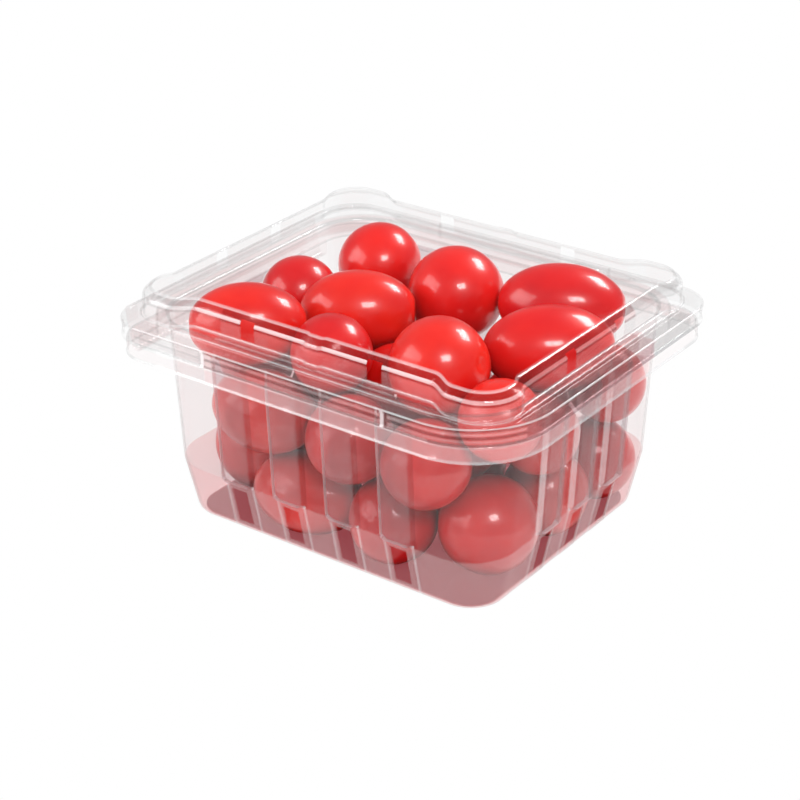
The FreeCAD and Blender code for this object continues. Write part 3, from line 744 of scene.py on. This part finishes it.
def make_lid():
    """The lid with its side of the hinge. Columns stand where vents, bulge and panels begin and end."""
    signs = (-1, 1)
    long_marks = [*BULGE_START, *BULGE_END]
    long_marks += [place + sign * step
                   for place in LONG_VENTS for step in (VENT_HALF, VENT_INNER) for sign in signs]
    long_marks += [sign * (RIM_PANEL + step) for sign in signs for step in RIM_PANEL_STEPS]
    long_marks += [sign * (LONG_PANEL + LONG_SLANT * step / LONG_SLANT_STEPS)
                   for sign in signs for step in range(LONG_SLANT_STEPS + 1)]
    short_marks = [place + sign * VENT_HALF for place in SHORT_VENTS for sign in signs]
    short_marks += [sign * (SHORT_PANEL + SHORT_SLANT * step / SHORT_SLANT_STEPS)
                    for sign in signs for step in range(SHORT_SLANT_STEPS + 1)]
    core_x = POST_X - POST_CORNER
    core_y = POST_Y - POST_CORNER
    columns = columns_round(core_x, core_y, long_marks, short_marks)
    points, faces, finishes, rows = loft(columns, lid_profile, left_out_of_lid, lid_finish_and_painted_light)
    faces.append(tuple(number * rows + rows - 1 for number in range(len(columns))))
    root = -(CORE_X + MOUTH_CORNER + FLANGE_REACH + LID_OVERHANG)
    tip = CREASE_X + CREASE_GAP
    path = [
        (tip, CREASE_Z + CREASE_GAP + GAUGE),
        ((tip + root) / 2 - BAND_DIP, BAND_DIP_LEVEL),
        (root + BAND_OVERLAP, LID_FLANGE_TOP),
    ]
    band, band_faces = strip(path, HINGE_HALF, len(points))
    finishes += ["window"] + ["wall"] * len(band_faces)
    return sheet_object("clear_lid", points + band, faces + band_faces, finishes)


# Tomatoes

def tomato_mesh(name, node, number):
    """A smooth fruit in its node's place, a little uneven, with a scar where its stem was."""
    low, high = (Vector(corner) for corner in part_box(node))
    centre = (low + high) / 2
    half_thick = (high.z - low.z) / 2
    steps = (vertex.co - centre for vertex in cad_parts[node].data.vertices)
    far = max(steps, key=lambda step: step.length)
    half_long = far.length
    chance = random.Random(number)
    if half_long < half_thick * ROUND_LIMIT:
        turn = chance.uniform(0, math.tau)
        lean = chance.uniform(*STEM_LEAN)
        axis = Vector((math.cos(turn) * math.cos(lean), math.sin(turn) * math.cos(lean), -math.sin(lean)))
        half_long = half_thick
    else:
        axis = far.normalized() * chance.choice((-1, 1))
    side = axis.orthogonal().normalized()
    other = axis.cross(side)
    points = []
    waves = [(chance.uniform(0, math.tau), chance.uniform(*DENT_SIZES), lobes) for lobes in LOBES]
    for ring in range(RINGS + 1):
        polar = math.pi * ring / RINGS
        for spoke in range(SPOKES):
            angle = math.tau * spoke / SPOKES
            dent = sum(size * (1 + math.cos(lobes * angle + phase)) * math.sin(polar) ** 2
                       for phase, size, lobes in waves)
            scar = SCAR_DEPTH * math.exp(-(polar / SCAR_WIDTH) ** 2)
            dimple = DIMPLE_DEPTH * math.exp(-((math.pi - polar) / DIMPLE_WIDTH) ** 2)
            grow = 1 - dent - scar - dimple
            step = axis * (math.cos(polar) * half_long) \
                + (side * math.cos(angle) + other * math.sin(angle)) * (math.sin(polar) * half_thick)
            points.append(centre + step * grow)
    faces = []
    for ring in range(RINGS):
        for spoke in range(SPOKES):
            start = ring * SPOKES + spoke
            following = ring * SPOKES + (spoke + 1) % SPOKES
            faces.append((start, start + SPOKES, following + SPOKES, following))
    mesh = bpy.data.meshes.new(name)
    mesh.from_pydata(points, [], faces)
    mesh.update()
    for polygon in mesh.polygons:
        polygon.use_smooth = True
    piece = bpy.data.objects.new(name, mesh)
    bpy.context.scene.collection.objects.link(piece)
    return piece


def direction(azimuth, elevation):
    """A unit vector towards a place seen from the origin. Azimuth 0 is towards -Y, 90 degrees towards +X."""
    level = math.cos(elevation)
    return Vector((math.sin(azimuth) * level, -math.cos(azimuth) * level, math.sin(elevation)))


def make_camera():
    """The camera that took the photograph, with its slight roll."""
    back = direction(VIEW_AZIMUTH, VIEW_ELEVATION)
    right = Vector((math.cos(VIEW_AZIMUTH), math.sin(VIEW_AZIMUTH), 0.0))
    up = back.cross(right)
    turned_right = right * math.cos(VIEW_ROLL) + up * math.sin(VIEW_ROLL)
    turned_up = up * math.cos(VIEW_ROLL) - right * math.sin(VIEW_ROLL)
    data = bpy.data.cameras.new("camera")
    data.lens = LENS
    data.sensor_width = SENSOR_WIDTH
    data.clip_start = 0.01
    camera = bpy.data.objects.new("camera", data)
    turn = Matrix((turned_right, turned_up, back)).transposed()
    place = VIEW_TARGET + back * VIEW_DISTANCE
    camera.matrix_world = Matrix.Translation(place) @ turn.to_4x4()
    bpy.context.scene.collection.objects.link(camera)
    bpy.context.scene.camera = camera


# Light

def make_softbox(name, azimuth, elevation, distance, width, height, power):
    """A soft rectangular lamp that faces the pack."""
    data = bpy.data.lights.new(name, "AREA")
    data.shape = "RECTANGLE"
    data.size = width
    data.size_y = height
    data.energy = power
    lamp = bpy.data.objects.new(name, data)
    toward = direction(math.radians(azimuth), math.radians(elevation))
    lamp.matrix_world = Matrix.Translation(VIEW_TARGET + toward * distance) @ \
        toward.to_track_quat("Z", "Y").to_matrix().to_4x4()
    bpy.context.scene.collection.objects.link(lamp)


def make_lights():
    """A broad lamp to the left, and two small ones whose reflections show on the fruit and the rims."""
    make_softbox("softbox_left", azimuth=-42, elevation=24, distance=1.1, width=0.9, height=0.7, power=7.2)
    make_softbox("softbox_back", azimuth=164, elevation=42, distance=0.9, width=0.36, height=0.24, power=5.0)
    make_softbox("softbox_right", azimuth=52, elevation=43, distance=0.9, width=0.30, height=0.22, power=4.0)


# Materials

WHITE = (1.0, 1.0, 1.0, 1.0)

# Painted shade on the fruit: heights between which it gets lighter, and how bright it is below them
PAINTED_SHADE_LEVELS = (0.040, 0.062)
PAINTED_SHADE_LOW = 0.76


def new_material(name):
    """A material with an empty node tree."""
    material = bpy.data.materials.new(name)
    material.use_nodes = True
    tree = material.node_tree
    tree.nodes.clear()
    return material, tree


def add(tree, kind, **values):
    """A new node with some of its sockets or settings filled in."""
    node = tree.nodes.new(kind)
    for key, value in values.items():
        if hasattr(node, key):
            setattr(node, key, value)
        else:
            node.inputs[key.replace("_", " ")].default_value = value
    return node


def make_world():
    """White to the camera, dim to mirrors and half bright as a light, so the pack is not washed out."""
    world = bpy.data.worlds.new("studio")
    world.use_nodes = True
    tree = world.node_tree
    tree.nodes.clear()
    out = add(tree, "ShaderNodeOutputWorld")
    path = add(tree, "ShaderNodeLightPath")
    seen = add(tree, "ShaderNodeBackground", Color=WHITE, Strength=1.0)
    mirrored = add(tree, "ShaderNodeBackground", Color=(0.9, 0.92, 0.95, 1.0), Strength=0.32)
    light = add(tree, "ShaderNodeBackground", Color=WHITE, Strength=0.55)
    first = add(tree, "ShaderNodeMixShader")
    second = add(tree, "ShaderNodeMixShader")
    tree.links.new(path.outputs["Is Glossy Ray"], first.inputs["Fac"])
    tree.links.new(light.outputs[0], first.inputs[1])
    tree.links.new(mirrored.outputs[0], first.inputs[2])
    tree.links.new(path.outputs["Is Camera Ray"], second.inputs["Fac"])
    tree.links.new(first.outputs[0], second.inputs[1])
    tree.links.new(seen.outputs[0], second.inputs[2])
    tree.links.new(second.outputs[0], out.inputs["Surface"])
    bpy.context.scene.world = world


def make_floor():
    """White paper under the pack. The camera sees it pure white, as in the photograph."""
    mesh = bpy.data.meshes.new("floor")
    reach = 3.0
    level = -0.0003
    corners = [(x * reach, y * reach, level) for x, y in ((-1, -1), (1, -1), (1, 1), (-1, 1))]
    mesh.from_pydata(corners, [], [(0, 1, 2, 3)])
    floor = bpy.data.objects.new("floor", mesh)
    bpy.context.scene.collection.objects.link(floor)
    material, tree = new_material("floor_paper")
    out = add(tree, "ShaderNodeOutputMaterial")
    path = add(tree, "ShaderNodeLightPath")
    paper = add(tree, "ShaderNodeBsdfDiffuse", Color=(0.9, 0.9, 0.9, 1.0))
    white = add(tree, "ShaderNodeEmission", Color=WHITE, Strength=1.0)
    mix = add(tree, "ShaderNodeMixShader")
    tree.links.new(path.outputs["Is Camera Ray"], mix.inputs["Fac"])
    tree.links.new(paper.outputs[0], mix.inputs[1])
    tree.links.new(white.outputs[0], mix.inputs[2])
    tree.links.new(mix.outputs[0], out.inputs["Surface"])
    mesh.materials.append(material)


def tomato_skin(name, dark, bright):
    """Smooth red skin with faint clouds of a second red and a soft glow, and painted shade that darkens it
    low in the heap.
    """
    material, tree = new_material(name)
    out = add(tree, "ShaderNodeOutputMaterial")
    skin = add(tree, "ShaderNodeBsdfPrincipled", Roughness=0.34, IOR=1.4,
               Coat_Weight=0.6, Coat_Roughness=0.10)
    skin.inputs["Subsurface Weight"].default_value = 0.25
    skin.inputs["Subsurface Radius"].default_value = (1.0, 0.12, 0.06)
    skin.inputs["Subsurface Scale"].default_value = 0.004
    place = add(tree, "ShaderNodeTexCoord")
    clouds = add(tree, "ShaderNodeTexNoise", Scale=60.0, Detail=3.0)
    ramp = add(tree, "ShaderNodeValToRGB")
    ramp.color_ramp.elements[0].position = 0.3
    ramp.color_ramp.elements[0].color = dark
    ramp.color_ramp.elements[1].position = 0.7
    ramp.color_ramp.elements[1].color = bright
    tree.links.new(place.outputs["Object"], clouds.inputs["Vector"])
    tree.links.new(clouds.outputs["Fac"], ramp.inputs["Fac"])
    # Painted shade: the skin's colour darkens low in the heap, by height
    height = add(tree, "ShaderNodeSeparateXYZ")
    shade = add(tree, "ShaderNodeMapRange")
    shade.inputs["From Min"].default_value, shade.inputs["From Max"].default_value = PAINTED_SHADE_LEVELS
    shade.inputs["To Min"].default_value = PAINTED_SHADE_LOW
    shade.inputs["To Max"].default_value = 1.0
    colour = add(tree, "ShaderNodeVectorMath", operation="SCALE")
    tree.links.new(place.outputs["Object"], height.inputs["Vector"])
    tree.links.new(height.outputs["Z"], shade.inputs["Value"])
    tree.links.new(ramp.outputs["Color"], colour.inputs[0])
    tree.links.new(shade.outputs["Result"], colour.inputs["Scale"])
    tree.links.new(colour.outputs["Vector"], skin.inputs["Base Color"])
    tree.links.new(skin.outputs[0], out.inputs["Surface"])
    return material


# How the sheet changes from face on, where Facing is 0, to edge on, where it is 1
TINT_START = 0.75
TINT_AT_EDGE = 0.75
MIRROR_POWER = 5.0
MIRROR_FACE_ON = 0.05
MIRROR_AT_EDGE = 0.8


def clear_plastic(name, through_part, haze_part, mirror_part):
    """Thin clear sheet: seen through, mirror-like at a slant, darker at its edges and a little milky."""
    if isinstance(through_part, float):
        through_part = (through_part,) * 3
    material, tree = new_material("sheet_" + name)
    out = add(tree, "ShaderNodeOutputMaterial")
    facing = add(tree, "ShaderNodeLayerWeight", Blend=0.5)
    tint = add(tree, "ShaderNodeValToRGB")
    tint.color_ramp.elements[0].position = TINT_START
    tint.color_ramp.elements[0].color = (*through_part, 1)
    tint.color_ramp.elements[1].position = 1.0
    tint.color_ramp.elements[1].color = (*(part * TINT_AT_EDGE for part in through_part), 1)
    through = add(tree, "ShaderNodeBsdfTransparent")
    haze = add(tree, "ShaderNodeBsdfDiffuse", Color=(0.93, 0.94, 0.95, 1))
    veil = add(tree, "ShaderNodeMixShader", Fac=haze_part)
    shine = add(tree, "ShaderNodeBsdfGlossy", Color=WHITE, Roughness=0.05)
    place = add(tree, "ShaderNodeTexCoord")
    waves = add(tree, "ShaderNodeTexNoise", Scale=45.0, Detail=2.0)
    uneven = add(tree, "ShaderNodeBump", Strength=0.3, Distance=0.0006)
    tree.links.new(place.outputs["Object"], waves.inputs["Vector"])
    tree.links.new(waves.outputs["Fac"], uneven.inputs["Height"])
    tree.links.new(uneven.outputs["Normal"], shine.inputs["Normal"])
    slant = add(tree, "ShaderNodeMath", operation="POWER")
    slant.inputs[1].default_value = MIRROR_POWER
    mirror = add(tree, "ShaderNodeMapRange")
    mirror.inputs["To Min"].default_value = MIRROR_FACE_ON * mirror_part
    mirror.inputs["To Max"].default_value = MIRROR_AT_EDGE * mirror_part
    mix = add(tree, "ShaderNodeMixShader")
    tree.links.new(facing.outputs["Facing"], tint.inputs["Fac"])
    tree.links.new(facing.outputs["Facing"], slant.inputs[0])
    tree.links.new(slant.outputs[0], mirror.inputs["Value"])
    tree.links.new(mirror.outputs["Result"], mix.inputs["Fac"])
    tree.links.new(tint.outputs["Color"], through.inputs["Color"])
    tree.links.new(through.outputs[0], veil.inputs[1])
    tree.links.new(haze.outputs[0], veil.inputs[2])
    tree.links.new(veil.outputs[0], mix.inputs[1])
    tree.links.new(shine.outputs[0], mix.inputs[2])
    tree.links.new(mix.outputs[0], out.inputs["Surface"])
    return material


bpy.context.scene.view_settings.view_transform = "Standard"
bpy.context.scene.cycles.transparent_max_bounces = 48
make_camera()
make_lights()
make_world()
make_floor()

# One material for each finish and each kind of painted light on the sheet
for finish, parts in FINISHES_AND_PAINTED_LIGHT.items():
    clear_plastic(finish, *parts)

# Fruits whose numbers follow each other get different skins
SKIN_STEP = 5
skins = [
    tomato_skin("tomato_red", (0.62, 0.004, 0.006, 1), (0.76, 0.012, 0.008, 1)),
    tomato_skin("tomato_deep_red", (0.55, 0.003, 0.007, 1), (0.69, 0.008, 0.008, 1)),
    tomato_skin("tomato_warm_red", (0.66, 0.006, 0.005, 1), (0.79, 0.020, 0.008, 1)),
]

tray = make_tray()
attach(tray, "base")
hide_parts("base_tray")

lid = make_lid()
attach(lid, "lid")
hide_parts("lid")

tomatoes = sorted(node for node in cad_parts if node.startswith("tomato"))
for number, node in enumerate(tomatoes):
    fruit = tomato_mesh("fruit" + node[len("tomato"):], node, number)
    fruit.data.materials.append(skins[number * SKIN_STEP % len(skins)])
    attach(fruit, "base")
    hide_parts(node)
